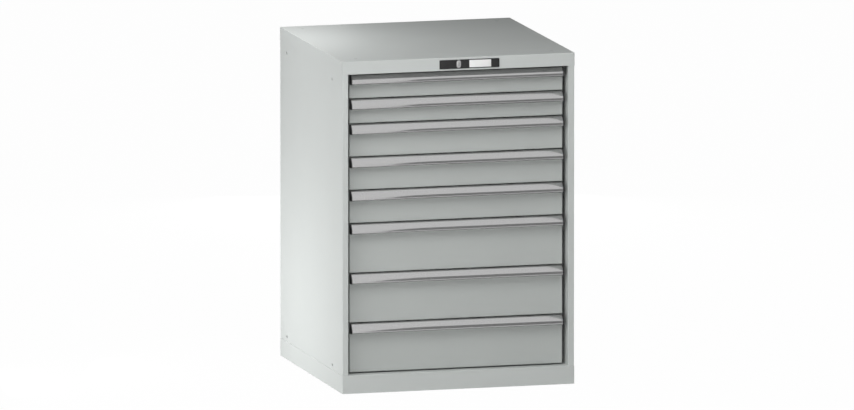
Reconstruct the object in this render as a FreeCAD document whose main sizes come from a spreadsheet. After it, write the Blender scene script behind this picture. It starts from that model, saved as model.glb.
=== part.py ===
"""Multi-drawer cabinet of folded sheet steel.

Eight drawers of three heights run on roller slides in a housing of side panels, back, cover and base.
A central lock in the cover's rim turns a shaft, whose crank lifts a bar of tongues behind the drawers.
All sizes are in millimetres. The origin is the centre of the footprint on the floor, +Z is up, the
fronts face -Y and +X is to the right of someone who stands before them.
"""
import FreeCAD, Part
import os
import re

import Sketcher
from FreeCAD import Rotation, Vector

# Driving sizes, as they are set in the sheet
SIZES = {
    "CabinetWidth": 717,
    "CabinetDepth": 725,
    "CoverHeight": 39,
    "BaseHeight": 55,
    "ShellProud": 1,
    "ShellSheet": 2,
    "ShellReturn": 20,
    "ShellRound": 2,
    "PanelSheet": 1.5,
    "PanelFlange": 18,
    "PostWidth": 18,
    "PostDepth": 55,
    "FoldRound": 1.4,
    "FrontStep": 25,
    "StackMargin": 3,
    "RearSpace": 58,
    "JoinHoleDiameter": 9,
    "JoinHoleFront": 120.5,
    "JoinHoleRear": 76.5,
    "JoinHoleEdge": 69,
    "PlugDiameter": 11,
    "PlugThickness": 4,
    "PlugInsetX": 56.5,
    "PlugInsetY": 55.5,
    "PlugGap": 0.2,
    "ScrewDiameter": 5,
    "ScrewHead": 8.4,
    "ScrewHeadHeight": 1,
    "ScrewLength": 8,
    "ScrewHoleGap": 0.1,
    "ScrewEdge": 45,
    "ShellScrewY": 150,
    "UprightDepth": 18,
    "UprightWidth": 38,
    "UprightSheet": 1.5,
    "UprightFrontGap": 6.5,
    "UprightRearInset": 35,
    "SlotWidth": 6,
    "SlotHeight": 10,
    "HookGap": 0.3,
    "HookReach": 3,
    "RailDepth": 13,
    "RailSheet": 2,
    "RailEndGap": 2,
    "SlideInset": 13,
    "SlideRise": 14,
    "SlideGap": 1,
    "CarriageSheet": 2.5,
    "CarriageTall": 20,
    "CarriageEnd": 16,
    "RollerDiameter": 26,
    "RollerWidth": 9,
    "RollerPlay": 0.3,
    "RollerSideGap": 1,
    "RollerSpacing": 90,
    "AxleDiameter": 8,
    "AxleGap": 0.1,
    "StopGap": 5,
    "DrawerTravel": 640,
    "FrontRecess": 29.5,
    "FrontDepth": 20,
    "FrontSheet": 1.2,
    "FrontRound": 1.8,
    "FrontReturn": 14,
    "SideReveal": 11,
    "GapBelow": 1.5,
    "GapAbove": 1.8,
    "HandleHeight": 28.8,
    "HandleCrown": 8,
    "ShoulderReach": 20.6,
    "ShoulderDrop": 15.5,
    "NoseReach": 21.5,
    "NoseDrop": 24.5,
    "LipReach": 17.5,
    "HandleWall": 1.8,
    "CrownRound": 5,
    "ShoulderRound": 12,
    "NoseRound": 2.5,
    "CapThickness": 3.4,
    "TrayWall": 1.5,
    "TrayRise": 9,
    "TrayDrop": 12,
    "TrayRim": 5,
    "CatchRise": 40,
    "CatchWidth": 20,
    "CatchReach": 23.5,
    "CatchSheet": 2.5,
    "CatchLip": 12,
    "LockRise": 18.5,
    "PlateWidth": 184.6,
    "PlateHeight": 27,
    "PlateShift": 33.1,
    "PlateThickness": 1.5,
    "PlateRound": 2,
    "LabelWidth": 67,
    "LabelHeight": 22,
    "LabelShift": 66.2,
    "LabelDepth": 0.6,
    "LabelSheet": 0.4,
    "LabelGap": 0.2,
    "CylinderWidth": 13.5,
    "CylinderHeight": 22,
    "CylinderRound": 6.5,
    "CylinderLength": 34,
    "CylinderProud": 1.2,
    "CylinderGap": 0.2,
    "CoreDiameter": 10,
    "CoreGap": 0.1,
    "KeyWidth": 2,
    "KeyHeight": 7,
    "KeyDepth": 10,
    "ShaftDiameter": 8,
    "ShaftGap": 0.1,
    "LockThrow": 12,
    "CrankPin": 6,
    "CrankRim": 2,
    "CrankThickness": 4,
    "CrankGap": 4,
    "BracketSheet": 3,
    "BracketWidth": 32,
    "BracketFoot": 18,
    "BracketGap": 0.3,
    "BarOffset": 32,
    "BarWidth": 25,
    "BarSheet": 3,
    "BarRise": 10,
    "BarHeadReach": 20,
    "BarHeadEdge": 5,
    "PinPlay": 0.4,
    "PinSlotSlack": 1,
    "TongueGap": 1,
    "TongueWidth": 18,
    "TongueSheet": 3,
    "TongueDrop": 2,
    "TongueReach": 12,
    "GuideRise": 52,
    "GuideHeight": 20,
    "GuideWall": 6,
    "GuidePlay": 0.4,
}

# Front heights in steps, from the lowest drawer to the top one, and how they are numbered from the top
FRONT_STEPS = (6, 6, 6, 4, 4, 4, 3, 3)
DRAWERS = len(FRONT_STEPS)
TOTAL_STEPS = sum(FRONT_STEPS)
BACK_SCREWS_A_SIDE = 5
DRAWERS_A_GUIDE = 3

# What counts as no distance when edges and faces are picked
CLOSE = 0.001

# Places that follow from the sizes, as expressions
PLACES = {
    "HalfWidth": "CabinetWidth / 2",
    "FrontEdge": "-CabinetDepth / 2",
    "HousingHalf": "HalfWidth - ShellProud",
    "HousingFront": "FrontEdge + ShellProud",
    "HousingRear": "-HousingFront",
    "StackBottom": "BaseHeight + StackMargin",
    "CoverBottom": f"StackBottom + {TOTAL_STEPS} * FrontStep + StackMargin",
    "CoverTop": "CoverBottom + CoverHeight",
    "PanelInner": "HousingHalf - PanelSheet",
    "FlangeInner": "HousingHalf - PanelFlange",
    "PostInner": "HousingHalf - PostWidth",
    "PostRear": "HousingFront + PostDepth",
    "BackFront": "HousingRear - PanelSheet",
    "FlangeMiddle": "(FlangeInner + PanelInner) / 2",
    "RailOuter": "PanelInner - UprightDepth",
    "RailInner": "RailOuter - RailDepth",
    "PlateOuter": "RailInner - SlideGap",
    "PlateInner": "PlateOuter - CarriageSheet",
    "RunnerOuter": "PlateInner - SlideGap",
    "TraySide": "RunnerOuter - RailDepth",
    "FrontPlane": "FrontEdge + FrontRecess",
    "FrontHalf": "PostInner - SideReveal",
    "TrayFront": "FrontPlane + FrontDepth",
    "TrayRear": "BackFront - RearSpace",
    "RailFront": "TrayFront + SlideInset",
    "RailRear": "TrayRear - RailEndGap",
    "ChannelInside": "RollerDiameter + 2 * RollerPlay",
    "ChannelHeight": "ChannelInside + 2 * RailSheet",
    "RollerEnd": "RailSheet + StopGap + RollerDiameter / 2",
    "InnerFrontRoller": "RailFront + RollerEnd",
    "InnerRearRoller": "RailRear - DrawerTravel / 2 - RollerEnd",
    "OuterFrontRoller": "RailFront + DrawerTravel / 2 + RollerEnd",
    "OuterRearRoller": "OuterFrontRoller + RollerSpacing",
    "FrontUpright": "PostRear + UprightFrontGap",
    "RearUpright": "RailRear - UprightRearInset - UprightWidth",
    "SlotBottom": "SlideRise + (ChannelHeight - SlotHeight) / 2",
    "LockLevel": "CoverBottom + LockRise",
    "CylinderFront": "FrontEdge - PlateThickness - CylinderProud",
    "CylinderRear": "CylinderFront + CylinderLength",
    "BarFront": "TrayRear + BarOffset",
    "BarRear": "BarFront + BarSheet",
    "CrankRadius": "LockThrow / sqrt(2)",
    "CrankRear": "BarFront - CrankGap",
    "CrankFront": "CrankRear - CrankThickness",
    "CrankRest": "LockLevel - LockThrow / 2",
    "PinSlotHalf": "CrankPin / 2 + PinPlay",
    "BarBottom": "StackBottom + BarRise",
    "BarHeadTop": "CrankRest + PinSlotHalf + BarHeadEdge",
    "TongueRear": "TrayRear + CatchReach - CatchSheet - TongueGap",
    "TongueFront": "TongueRear - TongueSheet",
    "CatchLevel": "TrayRise + CatchRise",
    "TongueTop": "CatchLevel - CatchLip - TongueDrop",
    "TongueBottom": "TongueTop - TongueReach - TongueSheet",
}

doc = FreeCAD.newDocument("Cabinet")
pieces = []


def fill_sheet():
    """Set each driving size as a plain number with its name as alias."""
    sheet = doc.addObject("Spreadsheet::Sheet", "Sizes")
    for row, (name, size) in enumerate(SIZES.items(), start=1):
        sheet.set(f"A{row}", name)
        sheet.set(f"B{row}", str(size))
        sheet.setAlias(f"B{row}", name)
    doc.recompute()


def linked(text):
    """An expression with every size and place written as a reference to where it is kept."""

    def reference(match):
        word = match.group(0)
        if word in SIZES:
            return f"Sizes.{word}"
        return f"Places.{word}" if word in PLACES else word

    return re.sub(r"[A-Za-z_]\w*", reference, str(text))


def bind(item, target, text):
    item.setExpression(target, linked(text))


def fill_places():
    """Hold each place as a property that an expression drives."""
    places = doc.addObject("App::VarSet", "Places")
    for name, text in PLACES.items():
        places.addProperty("App::PropertyFloat", name, "Places")
        bind(places, name, text)
    doc.recompute()


def number(text):
    return float(doc.Places.evalExpression(linked(text)))


def finish(shape, label):
    """Name a finished piece, which is written to a file of that name."""
    shape.Label = label
    pieces.append(shape)
    return shape


# Boxes, rods and what is made of them

def block(name, x, y, z):
    """A box from a low to a high place along each axis."""
    box = doc.addObject("Part::Box", name)
    for size, axis, (low, high) in zip(("Length", "Width", "Height"), "xyz", (x, y, z)):
        bind(box, size, f"({high}) - ({low})")
        bind(box, f"Placement.Base.{axis}", low)
    return box


def rod(name, axis, span, centre, diameter):
    """A cylinder along one axis. The centre is given on the two other axes, in X, Y, Z order."""
    cylinder = doc.addObject("Part::Cylinder", name)
    turns = {"x": Rotation(Vector(0, 1, 0), 90), "y": Rotation(Vector(1, 0, 0), -90), "z": Rotation()}
    cylinder.Placement.Rotation = turns[axis]
    bind(cylinder, "Radius", f"({diameter}) / 2")
    bind(cylinder, "Height", f"({span[1]}) - ({span[0]})")
    bind(cylinder, f"Placement.Base.{axis}", span[0])
    for other, place in zip((a for a in "xyz" if a != axis), centre):
        bind(cylinder, f"Placement.Base.{other}", place)
    return cylinder


def fuse(name, parts):
    union = doc.addObject("Part::MultiFuse", name)
    union.Shapes = parts
    union.Refine = True
    return union


def cut(name, base, tools):
    """Take one or more tools out of a base."""
    difference = doc.addObject("Part::Cut", name)
    difference.Base = base
    difference.Tool = tools[0] if len(tools) == 1 else fuse(f"{name}_tools", tools)
    return difference


def group(name, parts):
    """Separate solids that share one node."""
    compound = doc.addObject("Part::Compound", name)
    compound.Links = parts
    return compound


def mirrored(name, source):
    """The same piece on the left side of the cabinet."""
    copy = doc.addObject("Part::Mirroring", name)
    copy.Source = source
    copy.Normal = Vector(1, 0, 0)
    return copy


# Sketched bodies and their features

def new_body(name, x=0, y=0, z=0):
    body = doc.addObject("PartDesign::Body", name)
    for axis, place in zip("xyz", (x, y, z)):
        bind(body, f"Placement.Base.{axis}", place)
    return body


def new_sketch(body, name, plane, level):
    sketch = body.newObject("Sketcher::SketchObject", f"{body.Name}_{name}_sketch")
    origin_plane = next(f for f in body.Origin.OriginFeatures if f.Role == f"{plane}_Plane")
    sketch.AttachmentSupport = [(origin_plane, "")]
    sketch.MapMode = "FlatFace"
    bind(sketch, "AttachmentOffset.Base.z", level)
    return sketch


def place_point(sketch, geometry, point, place):
    """Hold a point of the sketch at a place that two expressions give."""
    for kind, text in zip(("DistanceX", "DistanceY"), place):
        index = sketch.addConstraint(Sketcher.Constraint(kind, -1, 1, geometry, point, number(text)))
        bind(sketch, f"Constraints[{index}]", text)


def draw_loop(sketch, corners):
    """Add a closed loop of straight lines through the corners."""
    first = sketch.GeometryCount
    count = len(corners)
    spots = [Vector(number(x), number(y), 0) for x, y in corners]
    for i, spot in enumerate(spots):
        sketch.addGeometry(Part.LineSegment(spot, spots[(i + 1) % count]), False)
    for i in range(count):
        sketch.addConstraint(Sketcher.Constraint("Coincident", first + i, 2, first + (i + 1) % count, 1))
        place_point(sketch, first + i, 1, corners[i])


def rectangle(x, y):
    """The corners of a rectangle from a low to a high place each way."""
    return [(x[0], y[0]), (x[1], y[0]), (x[1], y[1]), (x[0], y[1])]


def centred(half_x, half_y):
    return rectangle((f"-({half_x})", half_x), (f"-({half_y})", half_y))


def outline(body, name, plane, loops, level=0):
    sketch = new_sketch(body, name, plane, level)
    for corners in loops:
        draw_loop(sketch, corners)
    return sketch


def circles(body, name, plane, centres, diameter, level=0):
    sketch = new_sketch(body, name, plane, level)
    for i, (x, y) in enumerate(centres):
        centre = Vector(number(x), number(y), 0)
        sketch.addGeometry(Part.Circle(centre, Vector(0, 0, 1), number(diameter) / 2), False)
        place_point(sketch, i, 3, (x, y))
        index = sketch.addConstraint(Sketcher.Constraint("Diameter", i, number(diameter)))
        bind(sketch, f"Constraints[{index}]", diameter)
    return sketch


def pad(body, sketch, length, middle=False):
    feature = body.newObject("PartDesign::Pad", f"{sketch.Name}_pad")
    feature.Profile = sketch
    feature.Midplane = middle
    bind(feature, "Length", length)
    doc.recompute()
    return feature


def pocket(body, sketch, length=None, forward=True):
    """Cut a sketch out, forward along its plane's normal, and make sure that it cuts something."""
    before = body.Shape.Volume
    feature = body.newObject("PartDesign::Pocket", f"{sketch.Name}_pocket")
    feature.Profile = sketch
    feature.Reversed = forward
    if length is None:
        feature.Type = "ThroughAll"
    else:
        bind(feature, "Length", length)
    doc.recompute()
    if not body.Shape.Volume < before:
        raise RuntimeError(f"{feature.Name} cuts nothing")
    return feature


def round_edges(body, name, radius, chosen):
    """Round the edges of the body's last feature that a test picks."""
    base = body.Tip
    names = [f"Edge{i}" for i, edge in enumerate(base.Shape.Edges, start=1) if chosen(edge.BoundBox)]
    feature = body.newObject("PartDesign::Fillet", f"{body.Name}_{name}")
    feature.Base = (base, names)
    bind(feature, "Radius", radius)
    doc.recompute()
    return feature


def hollow(body, name, wall, open_faces):
    """Turn the body into a shell, without the faces whose outward normals a test picks."""
    base = body.Tip
    names = [f"Face{i}" for i, face in enumerate(base.Shape.Faces, start=1)
             if open_faces(face.normalAt(0, 0))]
    feature = body.newObject("PartDesign::Thickness", f"{body.Name}_{name}")
    feature.Base = (base, names)
    feature.Reversed = True
    bind(feature, "Value", wall)
    doc.recompute()
    return feature


def along_x(box):
    return box.YLength + box.ZLength < CLOSE


def along_y(box):
    return box.XLength + box.ZLength < CLOSE


def along_z(box):
    return box.XLength + box.YLength < CLOSE


def stack_place(drawer, offset):
    """A height above the lower pitch line of a drawer, counted from the lowest."""
    return f"StackBottom + {sum(FRONT_STEPS[:drawer])} * FrontStep + {offset}"


# Housing

SHELL_SCREWS = [(f"{side} * FlangeMiddle", f"{way} * ShellScrewY") for side in (-1, 1) for way in (-1, 1)]
PLUGS = [(f"{side} * (HalfWidth - PlugInsetX)", f"{way} * (-FrontEdge - PlugInsetY)")
         for side in (-1, 1) for way in (-1, 1)]


def folded_shell(name, bottom, height):
    """A flat top with a skirt all round, whose lower edge returns inwards as a flange."""
    body = new_body(name, z=bottom)
    pad(body, outline(body, "outside", "XY", [centred("HalfWidth", "-FrontEdge")]), height)
    top = number(height)
    round_edges(body, "folds", "ShellRound", lambda box: along_z(box) or box.ZMin > top - CLOSE)
    inside = centred("HalfWidth - ShellSheet", "-FrontEdge - ShellSheet")
    pocket(body, outline(body, "inside", "XY", [inside]), f"{height} - ShellSheet")
    opening = centred("HalfWidth - ShellReturn", "-FrontEdge - ShellReturn")
    pad(body, outline(body, "return", "XY", [inside, opening]), "ShellSheet")
    return body


def make_shells():
    base = folded_shell("base_frame", "0", "BaseHeight")
    holes = circles(base, "screw", "XY", SHELL_SCREWS, "ScrewDiameter + 2 * ScrewHoleGap", "ShellReturn")
    pocket(base, holes)
    finish(base, "base_frame")
    cover = folded_shell("top_cover", "CoverBottom", "CoverHeight")
    holes = circles(cover, "screw", "XY", SHELL_SCREWS, "ScrewDiameter + 2 * ScrewHoleGap")
    pocket(cover, holes, "ShellReturn")
    pocket(cover, circles(cover, "plug", "XY", PLUGS, "PlugDiameter", "ShellReturn"))
    middle = centred("CylinderWidth / 2 + CylinderGap", "CylinderHeight / 2 + CylinderGap")
    lock_hole = [(x, f"LockRise + {z}") for x, z in middle]
    pocket(cover, outline(cover, "lock", "XZ", [lock_hole], "-FrontEdge - ShellReturn"))
    finish(cover, "top_cover")


def make_plugs():
    """Plastic plugs that close the four lifting holes, flush with the top."""
    plugs = []
    for i, place in enumerate(PLUGS, start=1):
        face = rod(f"plug_{i}_face", "z", ("CoverTop - PlugThickness", "CoverTop"), place,
                   "PlugDiameter - 2 * PlugGap")
        rim = rod(f"plug_{i}_rim", "z", ("CoverTop - PlugThickness", "CoverTop - ShellSheet"), place,
                  "PlugDiameter + 2 * ShellSheet")
        plugs.append(fuse(f"plug_{i}", [face, rim]))
    finish(group("top_plugs", plugs), "top_plugs")


def back_screw_places(sides=(1,)):
    spacing = f"(CoverBottom - BaseHeight - 2 * ScrewEdge) / {BACK_SCREWS_A_SIDE - 1}"
    return [(f"{side} * FlangeMiddle", f"BaseHeight + ScrewEdge + {i} * {spacing}")
            for side in sides for i in range(BACK_SCREWS_A_SIDE)]


def make_side_panels():
    """One sheet each: a closed post at the front, the side, and flanges at the rear, top and bottom."""
    body = new_body("side_panel_right")
    sheet = [
        ("HousingHalf", "HousingFront"), ("PostInner", "HousingFront"), ("PostInner", "PostRear"),
        ("PanelInner", "PostRear"), ("PanelInner", "BackFront - PanelSheet"),
        ("FlangeInner", "BackFront - PanelSheet"), ("FlangeInner", "BackFront"),
        ("PanelInner", "BackFront"), ("PanelInner", "HousingRear"), ("HousingHalf", "HousingRear"),
    ]
    post = rectangle(("PostInner + PanelSheet", "PanelInner"),
                     ("HousingFront + PanelSheet", "PostRear - PanelSheet"))
    pad(body, outline(body, "section", "XY", [sheet, post], "BaseHeight"), "CoverBottom - BaseHeight")
    front = number("HousingFront")
    round_edges(body, "folds", "FoldRound", lambda box: along_z(box) and abs(box.YMax - front) < CLOSE)
    flange = rectangle(("FlangeInner", "PanelInner"), ("PostRear", "BackFront - PanelSheet"))
    for name, level in (("bottom", "BaseHeight"), ("top", "CoverBottom - PanelSheet")):
        pad(body, outline(body, name, "XY", [flange], level), "PanelSheet")
    shell_holes = [place for place in SHELL_SCREWS if not place[0].startswith("-")]
    screw_hole = "ScrewDiameter + 2 * ScrewHoleGap"
    pocket(body, circles(body, "shell_screw", "XY", shell_holes, screw_hole))
    pocket(body, circles(body, "back_screw", "XZ", back_screw_places(), screw_hole), forward=False)
    joins = [(y, z) for y in ("FrontEdge + JoinHoleFront", "-FrontEdge - JoinHoleRear")
             for z in ("JoinHoleEdge", "CoverTop - JoinHoleEdge")]
    pocket(body, circles(body, "join", "YZ", joins, "JoinHoleDiameter"))
    finish(body, "side_panel_right")
    finish(mirrored("side_panel_left", body), "side_panel_left")


def make_back():
    body = new_body("back_panel", y="HousingRear")
    sheet = rectangle(("-PanelInner", "PanelInner"), ("BaseHeight", "CoverBottom"))
    pad(body, outline(body, "sheet", "XZ", [sheet]), "PanelSheet")
    places = back_screw_places(sides=(-1, 1))
    pocket(body, circles(body, "screw", "XZ", places, "ScrewDiameter + 2 * ScrewHoleGap"))
    finish(body, "back_panel")


def screw(name, axis, seat, centre, way):
    """A button-head screw: its head stands on the seat, its shank goes the other way."""
    head = (seat, f"{seat} + ScrewHeadHeight") if way > 0 else (f"{seat} - ScrewHeadHeight", seat)
    shank = (f"{seat} - ScrewLength", seat) if way > 0 else (seat, f"{seat} + ScrewLength")
    return fuse(name, [rod(f"{name}_head", axis, head, centre, "ScrewHead"),
                       rod(f"{name}_shank", axis, shank, centre, "ScrewDiameter")])


def make_screws():
    backs = [screw(f"back_screw_{i}", "y", "HousingRear", place, 1)
             for i, place in enumerate(back_screw_places(sides=(-1, 1)), start=1)]
    finish(group("back_screws", backs), "back_screws")
    shell = [screw(f"base_screw_{i}", "z", "BaseHeight + PanelSheet", place, 1)
             for i, place in enumerate(SHELL_SCREWS, start=1)]
    shell += [screw(f"cover_screw_{i}", "z", "CoverBottom - PanelSheet", place, -1)
              for i, place in enumerate(SHELL_SCREWS, start=1)]
    finish(group("shell_screws", shell), "shell_screws")


def upright(name, front):
    """A channel that is open to the side panel, with a row of slots one step apart."""
    body = new_body(name, y=front, z="BaseHeight + PanelSheet")
    section = [
        ("RailOuter", "0"), ("PanelInner", "0"), ("PanelInner", "UprightSheet"),
        ("RailOuter + UprightSheet", "UprightSheet"),
        ("RailOuter + UprightSheet", "UprightWidth - UprightSheet"),
        ("PanelInner", "UprightWidth - UprightSheet"), ("PanelInner", "UprightWidth"),
        ("RailOuter", "UprightWidth"),
    ]
    pad(body, outline(body, "section", "XY", [section]), "CoverBottom - BaseHeight - 2 * PanelSheet")
    low = "StackMargin - PanelSheet + SlotBottom"
    slot = rectangle(("(UprightWidth - SlotWidth) / 2", "(UprightWidth + SlotWidth) / 2"),
                     (low, f"{low} + SlotHeight"))
    first = pocket(body, outline(body, "slot", "YZ", [slot]))
    row = body.newObject("PartDesign::LinearPattern", f"{name}_slots")
    row.Originals = [first]
    row.Direction = (next(f for f in body.Origin.OriginFeatures if f.Role == "Z_Axis"), [""])
    row.Occurrences = TOTAL_STEPS - min(FRONT_STEPS) + 1
    bind(row, "Length", f"{row.Occurrences - 1} * FrontStep")
    body.Tip = row
    doc.recompute()
    return body


def make_uprights():
    pair = group("uprights_right", [upright("front_upright", "FrontUpright"),
                                    upright("rear_upright", "RearUpright")])
    finish(pair, "uprights_right")
    finish(mirrored("uprights_left", pair), "uprights_left")


def channel(name, outside, inside, low):
    """A slide channel with closed ends. It opens on the side where its inside passes its outside."""
    high = f"{low} + ChannelHeight"
    bar = block(f"{name}_bar", outside, ("RailFront", "RailRear"), (low, high))
    groove = block(f"{name}_groove", inside, ("RailFront + RailSheet", "RailRear - RailSheet"),
                   (f"{low} + RailSheet", f"{high} - RailSheet"))
    return cut(name, bar, [groove])


def make_rails():
    """One rail for each drawer, open towards it, with two hooks in the slots of the uprights."""
    rails = []
    for drawer in range(DRAWERS):
        name = f"rail_{DRAWERS - drawer}"
        low = stack_place(drawer, "SlideRise")
        profile = channel(f"{name}_channel", ("RailInner", "RailOuter"),
                          ("RailInner - RailSheet", "RailOuter - RailSheet"), low)
        slot = stack_place(drawer, "SlotBottom")
        parts = [profile]
        for which in ("FrontUpright", "RearUpright"):
            hook_y = (f"{which} + (UprightWidth - SlotWidth) / 2 + HookGap",
                      f"{which} + (UprightWidth + SlotWidth) / 2 - HookGap")
            parts.append(block(f"{name}_{which}_hook", ("RailOuter", "RailOuter + HookReach"), hook_y,
                               (f"{slot} + HookGap", f"{slot} + SlotHeight - HookGap")))
        rails.append(fuse(name, parts))
    right = finish(group("rails_right", rails), "rails_right")
    finish(mirrored("rails_left", right), "rails_left")


# Lock

def make_lock_plate():
    """A plastic plate on the cover's rim, with an opening for the cylinder and a recess for the label."""
    body = new_body("lock_plate", y="FrontEdge", z="LockLevel")
    shape = rectangle(("PlateShift - PlateWidth / 2", "PlateShift + PlateWidth / 2"),
                      ("-PlateHeight / 2", "PlateHeight / 2"))
    pad(body, outline(body, "plate", "XZ", [shape]), "PlateThickness")
    round_edges(body, "corners", "PlateRound", along_y)
    half = "LabelWidth / 2 + LabelGap"
    recess = rectangle((f"LabelShift - ({half})", f"LabelShift + {half}"),
                       ("-LabelHeight / 2 - LabelGap", "LabelHeight / 2 + LabelGap"))
    pocket(body, outline(body, "recess", "XZ", [recess], "PlateThickness - LabelDepth"))
    hole = centred("CylinderWidth / 2 + CylinderGap", "CylinderHeight / 2 + CylinderGap")
    pocket(body, outline(body, "hole", "XZ", [hole]))
    width = number("CylinderWidth")
    round_edges(body, "hole_ends", "CylinderRound",
                lambda box: along_y(box) and box.XMin > -width and box.XMax < width)
    finish(body, "lock_plate")
    floor = "FrontEdge - PlateThickness + LabelDepth"
    finish(block("lock_label", ("LabelShift - LabelWidth / 2", "LabelShift + LabelWidth / 2"),
                 (f"{floor} - LabelSheet", floor),
                 ("LockLevel - LabelHeight / 2", "LockLevel + LabelHeight / 2")), "lock_label")


def make_lock_cylinder():
    """The oval barrel, bored for the core, which carries the keyway."""
    body = new_body("lock_cylinder", y="CylinderRear", z="LockLevel")
    oval = centred("CylinderWidth / 2", "CylinderHeight / 2")
    pad(body, outline(body, "oval", "XZ", [oval]), "CylinderLength")
    round_edges(body, "ends", "CylinderRound", along_y)
    pocket(body, circles(body, "bore", "XZ", [("0", "0")], "CoreDiameter + 2 * CoreGap"))
    finish(body, "lock_cylinder")
    core = rod("core_round", "y", ("CylinderFront", "CylinderRear"), ("0", "LockLevel"), "CoreDiameter")
    keyway = block("keyway", ("-KeyWidth / 2", "KeyWidth / 2"),
                   ("CylinderFront - KeyWidth", "CylinderFront + KeyDepth"),
                   ("LockLevel - KeyHeight / 2", "LockLevel + KeyHeight / 2"))
    finish(cut("lock_core", core, [keyway]), "lock_core")


def make_lock_shaft():
    """A rod from the core to the back, where a disc holds the crank pin, half the throw off both ways."""
    axis = ("0", "LockLevel")
    long_rod = rod("shaft_rod", "y", ("CylinderRear", "CrankFront"), axis, "ShaftDiameter")
    disc = rod("shaft_disc", "y", ("CrankFront", "CrankRear"), axis,
               "2 * CrankRadius + CrankPin + 2 * CrankRim")
    pin = rod("shaft_pin", "y", ("CrankRear", "BarRear + PinSlotSlack"), ("-LockThrow / 2", "CrankRest"),
              "CrankPin")
    finish(fuse("lock_shaft", [long_rod, disc, pin]), "lock_shaft")
    rear = "CrankFront - BracketGap"
    half = "BracketWidth / 2"
    wall = block("bracket_wall", (f"-{half}", half), (f"{rear} - BracketSheet", rear),
                 ("LockLevel - ShaftDiameter - BracketSheet", "CoverTop - ShellSheet"))
    foot = block("bracket_foot", (f"-{half}", half), (f"{rear} - BracketFoot", rear),
                 ("CoverTop - ShellSheet - BracketSheet", "CoverTop - ShellSheet"))
    bore = rod("bracket_bore", "y", (f"{rear} - BracketFoot", rear), axis, "ShaftDiameter + 2 * ShaftGap")
    finish(cut("shaft_bracket", fuse("bracket_bent", [wall, foot]), [bore]), "shaft_bracket")


def make_locking_bar():
    """A strip behind the drawers: its slot takes the crank pin, and each drawer has a tongue on it."""
    thick = ("BarFront", "BarRear")
    strip = block("bar_strip", ("-BarWidth / 2", "BarWidth / 2"), thick, ("BarBottom", "BarHeadTop"))
    head = block("bar_head", ("-BarHeadReach", "0"), thick,
                 ("CrankRest - PinSlotHalf - BarHeadEdge", "BarHeadTop"))
    slot_ends = ("-CrankRadius - PinSlotHalf - PinSlotSlack", "-LockThrow / 2 + PinSlotHalf + PinSlotSlack")
    slot = block("bar_slot", slot_ends, ("BarFront - BarSheet", "BarRear + BarSheet"),
                 ("CrankRest - PinSlotHalf", "CrankRest + PinSlotHalf"))
    parts = [cut("bar", fuse("bar_outline", [strip, head]), [slot])]
    wide = ("-TongueWidth / 2", "TongueWidth / 2")
    for drawer in range(DRAWERS):
        name = f"tongue_{DRAWERS - drawer}"
        low = stack_place(drawer, "TongueBottom")
        arm = block(f"{name}_arm", wide, ("TongueFront", "BarFront"), (low, f"{low} + TongueSheet"))
        lip = block(f"{name}_lip", wide, ("TongueFront", "TongueRear"),
                    (low, stack_place(drawer, "TongueTop")))
        parts.append(fuse(name, [arm, lip]))
    finish(group("locking_bar", parts), "locking_bar")


def make_bar_guides():
    """Blocks on the back panel that the locking bar slides in."""
    guides = []
    half = "(BarWidth / 2 + GuidePlay)"
    for drawer in range(0, DRAWERS, DRAWERS_A_GUIDE):
        name = f"guide_{DRAWERS - drawer}"
        low = stack_place(drawer, "GuideRise")
        high = f"{low} + GuideHeight"
        solid = block(f"{name}_solid", (f"-{half} - GuideWall", f"{half} + GuideWall"),
                      ("BarFront - GuidePlay - GuideWall", "BackFront"), (low, high))
        way = block(f"{name}_way", (f"-{half}", half), ("BarFront - GuidePlay", "BarRear + GuidePlay"),
                    (f"{low} - GuideWall", f"{high} + GuideWall"))
        guides.append(cut(name, solid, [way]))
    finish(group("bar_guides", guides), "bar_guides")


# Drawers

def front_top(drawer):
    return stack_place(drawer + 1, "0 - GapAbove")


def make_front(drawer, label):
    """A folded pan, open to the rear, whose edges return inwards and lie on the tray."""
    body = new_body(f"{label}_front", y="TrayFront")

    def inset(depth):
        return rectangle((f"-FrontHalf + {depth}", f"FrontHalf - {depth}"),
                         (stack_place(drawer, f"GapBelow + {depth}"), f"{front_top(drawer)} - {depth}"))

    pad(body, outline(body, "face", "XZ", [inset("0")]), "FrontDepth")
    front = -number("FrontDepth")
    round_edges(body, "folds", "FrontRound", lambda box: box.YMax < front + CLOSE)
    inside = inset("FrontSheet")
    pocket(body, outline(body, "inside", "XZ", [inside]), "FrontDepth - FrontSheet")
    pad(body, outline(body, "return", "XZ", [inside, inset("FrontReturn")]), "FrontSheet")
    finish(body, f"{label}_front")


def handle_outline(body, drawer):
    """The grip's section: flat top, slanting face, upright nose, lip, and a back that lies on the front."""
    top = front_top(drawer)
    corners = [("0", top), ("-HandleCrown", top), ("-ShoulderReach", f"{top} - ShoulderDrop"),
               ("-NoseReach", f"{top} - NoseDrop"), ("-LipReach", f"{top} - HandleHeight"),
               ("0", f"{top} - HandleHeight")]
    return outline(body, "section", "YZ", [corners])


def round_grip(body):
    """Round the three long edges of the grip, each picked by how far it stands out."""
    for name in ("Crown", "Shoulder", "Nose"):
        reach = "HandleCrown" if name == "Crown" else f"{name}Reach"
        place = -number(reach)
        round_edges(body, name.lower(), f"{name}Round",
                    lambda box: along_x(box) and abs(box.YMax - place) < CLOSE)


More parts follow.
